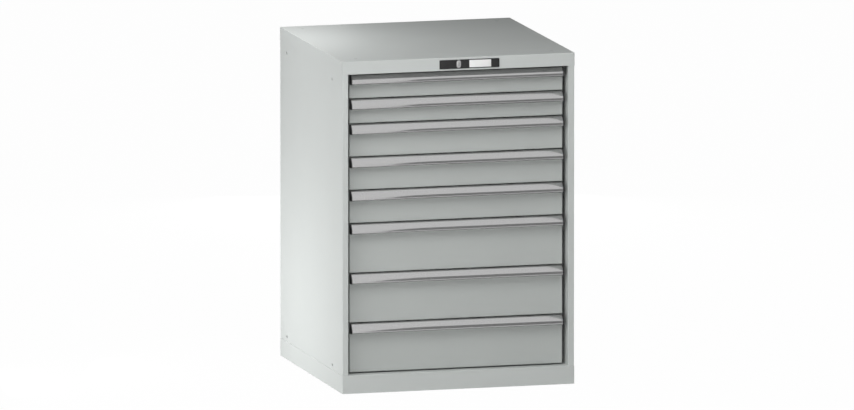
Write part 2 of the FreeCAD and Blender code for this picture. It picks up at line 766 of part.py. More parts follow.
def make_handle(drawer, label):
    """An extruded grip, open below for the fingers, and a cap on each of its ends."""
    grip = new_body(f"{label}_handle", y="FrontPlane")
    pad(grip, handle_outline(grip, drawer), "2 * (FrontHalf - CapThickness)", middle=True)
    round_grip(grip)
    hollow(grip, "wall", "HandleWall", lambda normal: normal.z < -0.999 or abs(normal.x) > 0.999)
    finish(grip, f"{label}_handle")
    cap = new_body(f"{label}_cap_right", x="FrontHalf - CapThickness", y="FrontPlane")
    pad(cap, handle_outline(cap, drawer), "CapThickness")
    round_grip(cap)
    caps = group(f"{label}_end_caps", [cap, mirrored(f"{label}_cap_left", cap)])
    finish(caps, f"{label}_end_caps")


def make_tray(drawer, label):
    """A welded tray with a runner on each side and a catch for the locking bar on its back."""
    low = stack_place(drawer, "TrayRise")
    high = stack_place(drawer + 1, "0 - TrayDrop")
    along = ("TrayFront", "TrayRear")
    box = block(f"{label}_tray_box", ("-TraySide", "TraySide"), along, (low, high))
    rim = block(f"{label}_tray_rim", ("-TraySide - TrayRim", "TraySide + TrayRim"), along,
                (f"{high} - TrayWall", high))
    inside = block(f"{label}_tray_inside", ("-TraySide + TrayWall", "TraySide - TrayWall"),
                   ("TrayFront + TrayWall", "TrayRear - TrayWall"),
                   (f"{low} + TrayWall", f"{high} + TrayWall"))
    shell = cut(f"{label}_tray_shell", fuse(f"{label}_tray_outside", [box, rim]), [inside])
    runner = channel(f"{label}_runner_right", ("TraySide", "RunnerOuter"),
                     ("TraySide + RailSheet", "RunnerOuter + RailSheet"), stack_place(drawer, "SlideRise"))
    wide = ("-CatchWidth / 2", "CatchWidth / 2")
    level = stack_place(drawer, "CatchLevel")
    end = "TrayRear + CatchReach"
    top = f"{level} + CatchSheet"
    arm = block(f"{label}_catch_arm", wide, ("TrayRear", end), (level, top))
    lip = block(f"{label}_catch_lip", wide, (f"{end} - CatchSheet", end), (f"{level} - CatchLip", top))
    parts = [shell, runner, mirrored(f"{label}_runner_left", runner), fuse(f"{label}_catch", [arm, lip])]
    finish(group(f"{label}_tray", parts), f"{label}_tray")


def roller(name, x, y, z):
    """A wheel with a bore, between two X places."""
    wheel = rod(f"{name}_wheel", "x", x, (y, z), "RollerDiameter")
    bore = rod(f"{name}_bore", "x", (f"{x[0]} - AxleDiameter", f"{x[1]} + AxleDiameter"), (y, z),
               "AxleDiameter + 2 * AxleGap")
    return cut(name, wheel, [bore])


def make_carriage(drawer, label):
    """Two plates between rail and runner, each with two rollers in the runner and two in the rail."""
    middle = stack_place(drawer, "SlideRise + ChannelHeight / 2")
    inner = ("RunnerOuter - RollerSideGap - RollerWidth", "RunnerOuter - RollerSideGap")
    outer = ("RailInner + RollerSideGap", "RailInner + RollerSideGap + RollerWidth")
    plate = [block(f"{label}_plate_sheet", ("PlateInner", "PlateOuter"),
                   ("InnerFrontRoller - CarriageEnd", "OuterRearRoller + CarriageEnd"),
                   (f"{middle} - CarriageTall / 2", f"{middle} + CarriageTall / 2"))]
    rollers = []
    for place, x in (("InnerFrontRoller", inner), ("InnerRearRoller", inner),
                     ("OuterFrontRoller", outer), ("OuterRearRoller", outer)):
        pin = (x[0], "PlateInner") if x is inner else ("PlateOuter", x[1])
        plate.append(rod(f"{label}_{place}_pin", "x", pin, (place, middle), "AxleDiameter"))
        rollers.append(roller(f"{label}_{place}_wheel", x, place, middle))
    right = group(f"{label}_carriage_right", [fuse(f"{label}_plate", plate)] + rollers)
    pair = group(f"{label}_carriage", [right, mirrored(f"{label}_carriage_left", right)])
    finish(pair, f"{label}_carriage")


# The whole cabinet, checked and written

def make_cabinet():
    make_shells()
    make_plugs()
    make_side_panels()
    make_back()
    make_screws()
    make_uprights()
    make_rails()
    make_lock_plate()
    make_lock_cylinder()
    make_lock_shaft()
    make_locking_bar()
    make_bar_guides()
    for drawer in range(DRAWERS):
        label = f"drawer_{DRAWERS - drawer}"
        make_tray(drawer, label)
        make_front(drawer, label)
        make_handle(drawer, label)
        make_carriage(drawer, label)


def check():
    """Stop if an object failed to compute or a piece has no sound shape."""
    for item in doc.Objects:
        if {"Invalid", "Error"} & set(item.State):
            raise RuntimeError(f"{item.Name} failed: {item.State}")
    for piece in pieces:
        if piece.Shape.isNull() or not piece.Shape.isValid() or not piece.Shape.Solids:
            raise RuntimeError(f"{piece.Label} has no sound solid")


def write():
    os.makedirs("parts", exist_ok=True)
    for piece in pieces:
        piece.Shape.exportStep(f"parts/{piece.Label}.step")


fill_sheet()
fill_places()
make_cabinet()
doc.recompute()
check()
write()
print(f"{len(pieces)} pieces, {sum(len(piece.Shape.Solids) for piece in pieces)} solids")
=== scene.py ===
"""Looks of a multi-drawer cabinet of painted sheet steel with aluminium grips and a lock in its rim.

The pieces follow the order in which the cabinet is put together. All sizes are in metres.
"""

import math

import bmesh
import bpy
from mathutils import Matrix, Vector


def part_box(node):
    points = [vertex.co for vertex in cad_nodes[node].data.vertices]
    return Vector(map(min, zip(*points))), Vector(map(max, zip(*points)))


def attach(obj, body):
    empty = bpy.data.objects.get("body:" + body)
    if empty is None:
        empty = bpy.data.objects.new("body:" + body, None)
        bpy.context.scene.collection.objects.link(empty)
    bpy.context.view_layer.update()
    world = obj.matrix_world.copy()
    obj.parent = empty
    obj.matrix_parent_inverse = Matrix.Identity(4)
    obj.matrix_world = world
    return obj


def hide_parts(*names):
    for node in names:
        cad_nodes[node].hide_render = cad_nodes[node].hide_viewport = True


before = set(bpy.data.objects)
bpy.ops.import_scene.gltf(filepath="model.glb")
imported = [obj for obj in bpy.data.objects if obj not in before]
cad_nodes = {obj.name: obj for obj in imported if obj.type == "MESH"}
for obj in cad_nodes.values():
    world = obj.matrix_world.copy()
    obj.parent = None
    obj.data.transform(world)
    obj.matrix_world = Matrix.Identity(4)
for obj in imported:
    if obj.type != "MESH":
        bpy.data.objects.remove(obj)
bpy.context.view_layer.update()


# Base, side panels, back and cover
# Cold-rolled sheet folded on a press, spot-welded and screwed together, then powder coated
# in one satin light grey. The coat has a fine orange-peel skin and hardly any gloss.

MM = 0.001
HOUSING_GREY = (0.606, 0.632, 0.618)
COAT_ROUGHNESS = 0.50
COAT_GLOSS = 0.30
CLOUD_SIZE = 120 * MM
DIMPLE_SIZE = 1.6 * MM
FLECK_SIZE = 0.5 * MM
FLECK_SHARE = 0.10
SKIN_DEPTH = 0.012 * MM


class Signal:
    """A number that differs over a surface. Arithmetic on it adds the nodes that work it out."""

    def __init__(self, tree, socket):
        self.tree = tree
        self.socket = socket

    def work_out(self, operation, first, second=0.0):
        node = self.tree.nodes.new("ShaderNodeMath")
        node.operation = operation
        for place, term in zip(node.inputs, (first, second)):
            feed(self.tree, place, term)
        return Signal(self.tree, node.outputs[0])

    def __add__(self, other):
        return self.work_out("ADD", self, other)

    def __radd__(self, other):
        return self.work_out("ADD", other, self)

    def __sub__(self, other):
        return self.work_out("SUBTRACT", self, other)

    def __rsub__(self, other):
        return self.work_out("SUBTRACT", other, self)

    def __mul__(self, other):
        return self.work_out("MULTIPLY", self, other)

    def __rmul__(self, other):
        return self.work_out("MULTIPLY", other, self)

    def __gt__(self, other):
        return self.work_out("GREATER_THAN", self, other)

    def __lt__(self, other):
        return self.work_out("LESS_THAN", self, other)

    def __abs__(self):
        return self.work_out("ABSOLUTE", self)


def feed(tree, socket, value):
    """Link a signal to a socket, or set the socket to a plain value."""
    if isinstance(value, Signal):
        tree.links.new(value.socket, socket)
    elif socket.type == "RGBA" and len(value) == 3:
        socket.default_value = (*value, 1)
    else:
        socket.default_value = value


class Finish:
    """A surface finish: one shader, and the patterns that change over the surface."""

    def __init__(self, name, constants):
        self.material = bpy.data.materials.new(name)
        self.material.use_nodes = True
        self.tree = self.material.node_tree
        self.shader = self.tree.nodes["Principled BSDF"]
        self.set(constants)
        self.place = self.node("TexCoord", {}, {}, "Object")

    def set(self, sockets):
        for name, value in sockets.items():
            feed(self.tree, self.shader.inputs[name], value)

    def node(self, kind, settings, sockets, output=0):
        """Any other node, by its type, its settings and what its sockets are fed."""
        node = self.tree.nodes.new("ShaderNode" + kind)
        for name, value in settings.items():
            setattr(node, name, value)
        for name, value in sockets.items():
            feed(self.tree, node.inputs[name], value)
        return Signal(self.tree, node.outputs[output])

    def grain(self, size, stretch=(1, 1, 1), detail=2.0):
        """Noise whose blotches are about this size, drawn out along the axes by a stretch."""
        scale = tuple(1 / length for length in stretch)
        place = self.node("Mapping", {}, {"Vector": self.place, "Scale": scale})
        return self.node("TexNoise", {}, {"Vector": place, "Scale": 1 / size, "Detail": detail})

    def axis(self, letter):
        return self.node("SeparateXYZ", {}, {"Vector": self.place}, letter)

    def blend(self, share, first, second):
        """A colour from the first to the second as the share goes from 0 to 1."""
        return self.node("Mix", {"data_type": "RGBA"}, {0: share, 6: first, 7: second}, 2)

    def relief(self, height, depth):
        """Make the surface rise by up to this depth where the height goes from 0 to 1."""
        bump = self.node("Bump", {}, {"Height": height, "Distance": depth, "Strength": 1.0})
        self.set({"Normal": bump})


def shade(colour, factor):
    return tuple(part * factor for part in colour)


def powder_coat(name, colour):
    """Satin paint: faint clouds in its tone, a skin of fine dimples and slightly uneven gloss."""
    coat = Finish(name, {"Specular IOR Level": COAT_GLOSS})
    clouds = coat.grain(CLOUD_SIZE, detail=4.0)
    dimples = coat.grain(DIMPLE_SIZE)
    flecks = coat.grain(FLECK_SIZE, detail=1.0)
    tone = coat.blend(clouds, shade(colour, 0.975), shade(colour, 1.02))
    coat.set({
        "Base Color": coat.blend(FLECK_SHARE * flecks, tone, shade(colour, 0.80)),
        "Roughness": COAT_ROUGHNESS - 0.04 + 0.08 * clouds,
    })
    coat.relief(dimples + 0.3 * flecks, SKIN_DEPTH)
    return coat


def dress(finish, *names):
    """Give CAD nodes a finish."""
    for name in names:
        cad_nodes[name].material_slots[0].material = finish.material


housing_coat = powder_coat("housing_coat", HOUSING_GREY)
dress(housing_coat, "base_frame", "side_panel_left", "side_panel_right", "back_panel", "top_cover")


# Lifting hole plugs
# Small grey plastic discs pressed into the four lifting holes, level with the top. A fine
# moulded ring runs round each of them.

PLUG_GREY = (0.52, 0.55, 0.53)
PLUG_RADIUS = 5.3 * MM
PLUG_FLANGE = 2.2 * MM
PLUG_DEPTH = 4 * MM
PLUG_EDGE = 0.25 * MM
PLUG_RING = 0.5 * MM
CLOSE = 0.02 * MM
ROUND_ANGLE = math.radians(32)


def apply_place():
    bpy.ops.object.transform_apply(location=True, rotation=True, scale=True)


def begin(name, add, scale=(1, 1, 1), **shape):
    """Add a primitive with nothing else selected, and name the piece that starts from it."""
    bpy.ops.object.select_all(action="DESELECT")
    add(**shape)
    piece = bpy.context.object
    piece.name = name
    piece.data.name = name
    piece.scale = scale
    apply_place()
    return piece


def slab(name, low, high):
    """A block between two corners."""
    low, high = Vector(low), Vector(high)
    return begin(name, bpy.ops.mesh.primitive_cube_add, high - low, size=1, location=(low + high) / 2)


def disc(name, centre, radius, depth, axis="Z", sides=32):
    """A round rod, centred on a point, along an axis."""
    turn = (math.pi / 2, 0, 0) if axis == "Y" else (0, 0, 0)
    return begin(name, bpy.ops.mesh.primitive_cylinder_add, vertices=sides, radius=radius, depth=depth,
                 location=centre, rotation=turn)


def select_only(piece):
    bpy.ops.object.select_all(action="DESELECT")
    piece.select_set(True)
    bpy.context.view_layer.objects.active = piece


def edit(on=True):
    bpy.ops.object.mode_set(mode="EDIT" if on else "OBJECT")


def pick(piece, kind, chosen):
    """Select, in edit mode, the faces or edges whose middle passes a test."""
    bpy.ops.mesh.select_mode(type=kind)
    bpy.ops.mesh.select_all(action="DESELECT")
    mesh = bmesh.from_edit_mesh(piece.data)
    for item in (mesh.edges if kind == "EDGE" else mesh.faces):
        corners = [corner.co for corner in item.verts]
        item.select_set(chosen(sum(corners, Vector()) / len(corners)))
    bmesh.update_edit_mesh(piece.data)


def draw_out(step):
    """Extrude what is selected along a step."""
    bpy.ops.mesh.extrude_region_move(TRANSFORM_OT_translate={"value": step})


def modify(piece, kind, **settings):
    """Add a modifier to a piece, set it and apply it."""
    select_only(piece)
    bpy.ops.object.modifier_add(type=kind)
    modifier = piece.modifiers[-1]
    for name, value in settings.items():
        setattr(modifier, name, value)
    bpy.ops.object.modifier_apply(modifier=modifier.name)


def soften(piece, width):
    """Break the sharp edges of a piece with a small round."""
    modify(piece, "BEVEL", width=width, segments=2, limit_method="ANGLE", angle_limit=ROUND_ANGLE)


def carve(piece, tool):
    """Cut the shape of a tool out of a piece."""
    modify(piece, "BOOLEAN", operation="DIFFERENCE", solver="EXACT", object=tool)
    bpy.data.objects.remove(tool)


def copy_of(piece, name, step, turn=0.0):
    """A copy with a mesh of its own, turned about the Z axis and then moved by a step."""
    select_only(piece)
    bpy.ops.object.duplicate()
    copy = bpy.context.object
    copy.name = name
    copy.data.name = name
    copy.rotation_euler = (0, 0, turn)
    copy.location = step
    apply_place()
    return copy


def join(name, parts):
    """Make one piece of several."""
    bpy.ops.object.select_all(action="DESELECT")
    for part in parts:
        part.select_set(True)
    bpy.context.view_layer.objects.active = parts[0]
    bpy.ops.object.join()
    piece = bpy.context.object
    piece.name = name
    piece.data.name = name
    return piece


def fit_out(piece, finish, body, slot, *nodes):
    """Give a new piece its finish, the body that it moves with and the nodes that it stands for."""
    piece.data.materials.clear()
    piece.data.materials.append(finish.material)
    select_only(piece)
    bpy.ops.object.shade_smooth_by_angle(angle=ROUND_ANGLE)
    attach(piece, body)
    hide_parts(*nodes)


plug_plastic = Finish("plug_plastic", {"Specular IOR Level": 0.3})
plug_cloud = plug_plastic.grain(8 * MM)
plug_plastic.set({
    "Base Color": plug_plastic.blend(plug_cloud, shade(PLUG_GREY, 0.94), PLUG_GREY),
    "Roughness": 0.50 + 0.1 * plug_cloud,
})
plug_plastic.relief(plug_plastic.grain(0.4 * MM), 0.01 * MM)

plug_low, plug_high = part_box("top_plugs")
plug_rim = PLUG_RADIUS + PLUG_FLANGE
plug = disc("plug", (0, 0, plug_high.z - PLUG_DEPTH / 2), PLUG_RADIUS, PLUG_DEPTH)
soften(plug, PLUG_EDGE)
edit()
pick(plug, "FACE", lambda middle: middle.z > plug_high.z - CLOSE)
bpy.ops.mesh.inset(thickness=2 * PLUG_RING)
bpy.ops.mesh.inset(thickness=PLUG_RING, depth=-PLUG_RING)
bpy.ops.mesh.inset(thickness=PLUG_RING, depth=PLUG_RING)
edit(False)
plug_places = [(x, y, 0) for x in (plug_low.x + plug_rim, plug_high.x - plug_rim)
               for y in (plug_low.y + plug_rim, plug_high.y - plug_rim)]
plugs = [copy_of(plug, f"plug_{i}", place) for i, place in enumerate(plug_places)]
bpy.data.objects.remove(plug)
fit_out(join("lifting_hole_plugs", plugs), plug_plastic, "cabinet", "grey_plastic", "top_plugs")


# Uprights and rails
# Slotted channels of zinc plated steel stand behind the posts, and one rolled rail for each
# drawer is hooked into them on each side.

ZINC = (0.50, 0.51, 0.52)


def zinc_plate(name, colour, streak=(1, 1, 1)):
    """Bright zinc: pale spangles, fine draw lines and patches of duller film."""
    plate = Finish(name, {"Metallic": 1.0})
    film = plate.grain(30 * MM, detail=4.0)
    lines = plate.grain(1.2 * MM, streak, detail=3.0)
    tone = plate.blend(film, shade(colour, 0.82), shade(colour, 1.08))
    plate.set({
        "Base Color": plate.blend(0.35 * lines, tone, shade(colour, 0.75)),
        "Roughness": 0.30 + 0.14 * film + 0.06 * lines,
    })
    plate.relief(lines, 0.01 * MM)
    return plate


rolled_zinc = zinc_plate("rolled_zinc", ZINC, (1, 40, 1))
standing_zinc = zinc_plate("standing_zinc", ZINC, (1, 1, 40))
dress(rolled_zinc, "rails_left", "rails_right")
dress(standing_zinc, "uprights_left", "uprights_right")


# Back and shell screws
# Button-head machine screws, zinc plated, with a hexagon socket. Five stand on each side of
# the back, and eight join base and cover to the flanges of the side panels.

SCREW_HEAD = 4.2 * MM
SCREW_SOCKET = 1.8 * MM
SOCKET_DEPTH = 0.6 * MM
HEAD_ROUND = 0.8
BACK_SCREWS_A_SIDE = 5

screw_zinc = zinc_plate("screw_zinc", shade(ZINC, 1.1))
dress(screw_zinc, "shell_screws")

screw_low, screw_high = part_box("back_screws")
back_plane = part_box("back_panel")[1].y
head_rise = screw_high.y - back_plane
screw = disc("screw", (0, back_plane + head_rise / 2, 0), SCREW_HEAD, head_rise, "Y")
edit()
pick(screw, "FACE", lambda middle: middle.y > screw_high.y - CLOSE)
bpy.ops.mesh.bevel(offset=HEAD_ROUND * head_rise, segments=4, affect="EDGES")
edit(False)
carve(screw, disc("socket", (0, screw_high.y, 0), SCREW_SOCKET, 2 * SOCKET_DEPTH, "Y", 6))
first_screw = screw_low.z + SCREW_HEAD
screw_step = (screw_high.z - SCREW_HEAD - first_screw) / (BACK_SCREWS_A_SIDE - 1)
screws = [copy_of(screw, f"screw_{i}", (x, 0, first_screw + i * screw_step))
          for x in (screw_low.x + SCREW_HEAD, screw_high.x - SCREW_HEAD)
          for i in range(BACK_SCREWS_A_SIDE)]
bpy.data.objects.remove(screw)
fit_out(join("back_screw_heads", screws), screw_zinc, "cabinet", "zinc_steel", "back_screws")


# Locking bar, its guides and the lock's shaft
# A zinc plated strip with a tongue for each drawer runs in black plastic guides on the back
# panel. The shaft's crank lifts it. The shaft turns in a bent bracket under the cover.

BLACK_PLASTIC = (0.030, 0.030, 0.031)


def moulded_black(name, colour, roughness):
    """Moulded plastic with a fine spark-eroded grain."""
    plastic = Finish(name, {"Specular IOR Level": 0.2})
    grain = plastic.grain(0.35 * MM)
    cloud = plastic.grain(15 * MM)
    plastic.set({
        "Base Color": plastic.blend(cloud, shade(colour, 0.85), shade(colour, 1.15)),
        "Roughness": roughness - 0.05 + 0.1 * grain,
    })
    plastic.relief(grain, 0.012 * MM)
    return plastic


guide_plastic = moulded_black("guide_plastic", BLACK_PLASTIC, 0.5)
dress(guide_plastic, "bar_guides")
dress(standing_zinc, "locking_bar", "shaft_bracket")
dress(rolled_zinc, "lock_shaft")


# Lock plate, label and lock
# A moulded black plate covers the opening in the rim. It frames a plain white label and the
# oval end of the chrome plated lock, whose round core has the keyway.

PLATE_BLACK = (0.033, 0.033, 0.033)
PLATE_CORNER = 2 * MM
PLATE_EDGE = 0.35 * MM
LABEL_DEPTH = 0.6 * MM
LABEL_GAP = 0.2 * MM
LABEL_WHITE = (0.94, 0.94, 0.93)
LABEL_EDGE = 0.12 * MM
CHROME = (0.85, 0.85, 0.85)
BARREL_ROUND = 6.5 * MM
BARREL_EDGE = 0.5 * MM
BORE_GAP = 0.1 * MM
KEY_WIDTH = 2 * MM
KEY_HEIGHT = 7 * MM
KEY_DEPTH = 10 * MM


def rounded_slab(name, low, high, radius, segments=6):
    """A block whose four edges along Y are rounded."""
    block = slab(name, low, high)
    edit()
    pick(block, "EDGE", lambda middle: min(abs(middle.x - low.x), abs(middle.x - high.x)) < CLOSE
         and min(abs(middle.z - low.z), abs(middle.z - high.z)) < CLOSE)
    bpy.ops.mesh.bevel(offset=radius, segments=segments, affect="EDGES")
    edit(False)
    return block


def room_round(low, high, gap, front, rear):
    """The corners of a box with a gap round it in X and Z, from a front to a rear place."""
    return Vector((low.x - gap, front, low.z - gap)), Vector((high.x + gap, rear, high.z + gap))


plate_low, plate_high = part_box("lock_plate")
label_low, label_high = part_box("lock_label")
barrel_low, barrel_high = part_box("lock_cylinder")
plate_plastic = moulded_black("plate_plastic", PLATE_BLACK, 0.45)
plate = rounded_slab("lock_surround", plate_low, plate_high, PLATE_CORNER)
label_room = room_round(label_low, label_high, LABEL_GAP, plate_low.y - MM, plate_low.y + LABEL_DEPTH)
barrel_room = room_round(barrel_low, barrel_high, LABEL_GAP, plate_low.y - MM, plate_high.y + MM)
carve(plate, slab("label_recess", *label_room))
carve(plate, rounded_slab("barrel_hole", *barrel_room, BARREL_ROUND))
soften(plate, PLATE_EDGE)
fit_out(plate, plate_plastic, "cabinet", "black_plastic", "lock_plate")

label_card = Finish("label_card", {"Specular IOR Level": 0.3})
fibres = label_card.grain(0.8 * MM, (3, 1, 1), detail=3.0)
label_card.set({
    "Base Color": label_card.blend(fibres, shade(LABEL_WHITE, 0.97), LABEL_WHITE),
    "Roughness": 0.55 + 0.1 * fibres,
})
label_card.relief(fibres, 0.01 * MM)
label = slab("blank_label", label_low, label_high)
soften(label, LABEL_EDGE)
fit_out(label, label_card, "cabinet", "label_white", "lock_label")

chrome_plate = Finish("chrome_plate", {"Metallic": 0.7})
chrome_film = chrome_plate.grain(3 * MM, detail=3.0)
chrome_plate.set({
    "Base Color": chrome_plate.blend(chrome_film, shade(CHROME, 0.95), CHROME),
    "Roughness": 0.12 + 0.08 * chrome_film,
})
core_low, core_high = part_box("lock_core")
core_middle = (core_low + core_high) / 2
core_radius = (core_high.x - core_low.x) / 2
core_length = core_high.y - core_low.y
barrel = rounded_slab("lock_barrel", barrel_low, barrel_high, BARREL_ROUND, 8)
soften(barrel, BARREL_EDGE)
carve(barrel, disc("core_bore", core_middle, core_radius + BORE_GAP, 2 * core_length, "Y"))
fit_out(barrel, chrome_plate, "cabinet", "chrome_plate", "lock_cylinder")

core = disc("keyed_core", core_middle, core_radius, core_length, "Y")
soften(core, BARREL_EDGE / 2)
key_half = Vector((KEY_WIDTH / 2, 0, KEY_HEIGHT / 2))
key_mouth = Vector((core_middle.x, core_low.y, core_middle.z))
carve(core, slab("keyway", key_mouth - key_half - Vector((0, MM, 0)),
                 key_mouth + key_half + Vector((0, KEY_DEPTH, 0))))
fit_out(core, chrome_plate, "lock", "chrome_plate", "lock_core")


# Trays
# Each tray is one folded sheet with rows of slots for dividers, a pressed floor and a rim that
# is turned out at the sides. A channel is welded to each side as the runner, and a bent catch
# for the locking bar to the back. All of it is powder coated with the front.

# Darker than the housing's grey: painted shade for the recess that the fronts sit back in.
SHADED_FRONT_GREY = (0.52, 0.545, 0.53)
FOLD_STEPS = 5
DRAWER_NUMBERS = range(1, 9)
TRAY_WALL = 1.5 * MM
TRAY_RIM = 5 * MM
SLOT_PITCH = 17 * MM
SLOT_ROW = 28 * MM
SLOT_INSET = 7 * MM
SLOT_CORNER = 1.3 * MM
SLOTS_A_ROW = 35
ROW_SPARE = 27 * MM
FLOOR_BORDER = 22 * MM
FLOOR_PRESS = 1 * MM
RUNNER_DEPTH = 13 * MM
RUNNER_RISE = 5 * MM
RUNNER_TALL = 30.6 * MM
RUNNER_WALL = 2 * MM
RUNNER_BEND = 3 * MM
CATCH_REACH = 23.5 * MM
CATCH_RISE = 42.5 * MM
CATCH_LIP = 14.5 * MM
CATCH_WALL = 2.5 * MM
CATCH_WIDTH = 20 * MM

shaded_front_coat = powder_coat("shaded_front_coat", SHADED_FRONT_GREY)


def thicken(piece, wall, offset):
    """Give a sheet its wall, on the side that it faces (1) or behind it (-1)."""
    modify(piece, "SOLIDIFY", thickness=wall, offset=offset, use_even_offset=True)


def folded_strip(name, axis, span, corners, radii):
    """A strip of sheet along X or Y, folded with a radius at each inner corner of its section."""
    corners = [Vector(corner) for corner in corners]
    run = corners[1] - corners[0]
    middle = (corners[0] + corners[1]) / 2
    slope = math.atan2(run.y, run.x)
    centre = sum(span) / 2
    length = span[1] - span[0]
    if axis == "X":
        size = (length, run.length, 1)
        turn = (slope, 0, 0)
        place = (centre, *middle)
    else:
        size = (run.length, length, 1)
        turn = (0, -slope, 0)
        place = (middle.x, centre, middle.y)
    strip = begin(name, bpy.ops.mesh.primitive_plane_add, size, size=1, location=place, rotation=turn)

    def section(place):
        return Vector((place.y if axis == "X" else place.x, place.z))

    edit()
    pick(strip, "EDGE", lambda place: (section(place) - corners[1]).length < CLOSE)
    for before, after in zip(corners[1:], corners[2:]):
        step = after - before
        draw_out((0, *step) if axis == "X" else (step.x, 0, step.y))
    for before, corner, after, radius in zip(corners, corners[1:], corners[2:], radii):
        turn = (corner - before).angle(after - corner)
        pick(strip, "EDGE", lambda place: (section(place) - corner).length < CLOSE)
        bpy.ops.mesh.bevel(offset=radius * math.tan(turn / 2), segments=FOLD_STEPS, affect="EDGES")
    edit(False)
    return strip


def slotted_wall(name, length, height):
    """A wall in the XZ plane, centred on X, that hangs down from its rows of slots."""
    rows = 1 + int((height - ROW_SPARE) / SLOT_ROW)
    centre = Vector((-(SLOTS_A_ROW - 1) / 2 * SLOT_PITCH, 0, height - SLOT_ROW / 2))
    wall = begin(name, bpy.ops.mesh.primitive_plane_add, (SLOT_PITCH, SLOT_ROW, 1), size=1,
                 location=centre, rotation=(math.pi / 2, 0, 0))
    edit()
    bpy.ops.mesh.select_all(action="SELECT")
    bpy.ops.mesh.inset(thickness=SLOT_INSET)
    bpy.ops.mesh.bevel(offset=SLOT_CORNER, segments=2, affect="VERTICES")
    pick(wall, "FACE", lambda middle: (middle - centre).length < CLOSE)
    bpy.ops.mesh.delete(type="FACE")
    edit(False)
    for count, step in ((SLOTS_A_ROW, (SLOT_PITCH, 0, 0)), (rows, (0, 0, -SLOT_ROW))):
        modify(wall, "ARRAY", count=count, use_relative_offset=False, use_constant_offset=True,
               constant_offset_displace=step, use_merge_vertices=True, merge_threshold=CLOSE)
    half = SLOTS_A_ROW * SLOT_PITCH / 2
    edit()
    for side in (-1, 1):
        pick(wall, "EDGE", lambda middle: side * middle.x > half - CLOSE)
        draw_out((side * (length / 2 - half), 0, 0))
    pick(wall, "EDGE", lambda middle: middle.z < height - rows * SLOT_ROW + CLOSE)
    draw_out((0, 0, rows * SLOT_ROW - height))
    edit(False)
    return wall


def tray(name, low, high):
    """A tray whose outside lies between two corners, with its rims, runners and catch."""
    half = high.x - RUNNER_DEPTH
    rear = high.y - CATCH_REACH
    middle = (low.y + rear) / 2
    wall = slotted_wall("wall", 2 * half, high.z - TRAY_WALL - low.z)
    walls = [copy_of(wall, "front_wall", (0, low.y, low.z)),
             copy_of(wall, "right_wall", (half, middle, low.z), math.pi / 2),
             copy_of(wall, "rear_wall", (0, rear, low.z), math.pi),
             copy_of(wall, "left_wall", (-half, middle, low.z), -math.pi / 2)]
    bpy.data.objects.remove(wall)
    sheet = join("sheet", walls)
    edit()
    bpy.ops.mesh.select_all(action="SELECT")
    bpy.ops.mesh.remove_doubles(threshold=CLOSE)
    for side in (-1, 1):
        pick(sheet, "EDGE", lambda place: side * place.x > half - CLOSE
             and place.z > high.z - TRAY_WALL - CLOSE)
        draw_out((side * TRAY_RIM, 0, 0))
    edit(False)
    thicken(sheet, TRAY_WALL, -1)

    floor_half = half - TRAY_WALL
    bottom = begin("bottom", bpy.ops.mesh.primitive_plane_add, size=2 * floor_half,
                   location=(0, middle, low.z))
    edit()
    bpy.ops.mesh.select_all(action="SELECT")
    bpy.ops.mesh.inset(thickness=FLOOR_BORDER)
    bpy.ops.mesh.inset(thickness=3 * FLOOR_PRESS, depth=FLOOR_PRESS)
    edit(False)
    thicken(bottom, TRAY_WALL, 1)

    top = low.z + RUNNER_RISE + RUNNER_TALL
    section = [(high.x, top), (half, top), (half, top - RUNNER_TALL), (high.x, top - RUNNER_TALL)]
    runner = folded_strip("runner", "Y", (low.y, rear), section, (RUNNER_BEND, RUNNER_BEND))
    thicken(runner, RUNNER_WALL, 1)
    stops = [slab("stop", (half + RUNNER_WALL, y, top - RUNNER_TALL + RUNNER_WALL),
                  (high.x, y + RUNNER_WALL, top - RUNNER_WALL)) for y in (low.y, rear - RUNNER_WALL)]
    runner = join("runner", [runner] + stops)
    twin = copy_of(runner, "twin", (0, 2 * middle, 0), math.pi)

    level = low.z + CATCH_RISE
    section = [(rear, level), (high.y, level), (high.y, level - CATCH_LIP)]
    catch = folded_strip("catch", "X", (-CATCH_WIDTH / 2, CATCH_WIDTH / 2), section, (CATCH_WALL,))
    thicken(catch, CATCH_WALL, -1)
    return join(name, [sheet, bottom, runner, twin, catch])


trays = {}
for number in DRAWER_NUMBERS:
    tray_low, tray_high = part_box(f"drawer_{number}_tray")
    height = round((tray_high.z - tray_low.z) / MM)
    if height not in trays:
        trays[height] = (tray(f"tray_{number}", tray_low, tray_high), tray_low.z)
        piece = trays[height][0]
    else:
        first, first_level = trays[height]
        piece = copy_of(first, f"tray_{number}", (0, 0, tray_low.z - first_level))
    fit_out(piece, shaded_front_coat, f"drawer_{number}", "grey_paint", f"drawer_{number}_tray")


# Roller carriages
# Between rail and runner, a zinc plated strip on each side carries four rollers of dark
# nylon on steel axles, two in the runner and two in the rail.

ROLLER_NYLON = (0.05, 0.05, 0.055)
RUNNER_MOUTH = 320.4 * MM
RAIL_MOUTH = 325.1 * MM

carriage_finish = zinc_plate("carriage_finish", ZINC, (1, 40, 1))
across = abs(carriage_finish.axis("X"))
nylon = (across < RUNNER_MOUTH) + (across > RAIL_MOUTH)
plate_colour, plate_roughness = (Signal(carriage_finish.tree, link.from_socket)
                                 for name in ("Base Color", "Roughness")
                                 for link in carriage_finish.shader.inputs[name].links)
carriage_finish.set({
    "Base Color": carriage_finish.blend(nylon, plate_colour, ROLLER_NYLON),
    "Roughness": plate_roughness + 0.15 * nylon,
    "Metallic": 1.0 - nylon,
})
for number in DRAWER_NUMBERS:
    dress(carriage_finish, f"drawer_{number}_carriage")


# Drawer fronts
# Each front is a folded pan of sheet steel, screwed to the tray from the inside, and coated
# with the housing's paint in a darker grey, which is painted shade for the recess it sits in.

dress(shaded_front_coat, *(f"drawer_{number}_front" for number in DRAWER_NUMBERS))


# Grips
# One aluminium extrusion, cut to the width of the front and anodised to a satin grey. It is
# flat on top, slants down to an upright nose and turns back into a lip for the fingers.

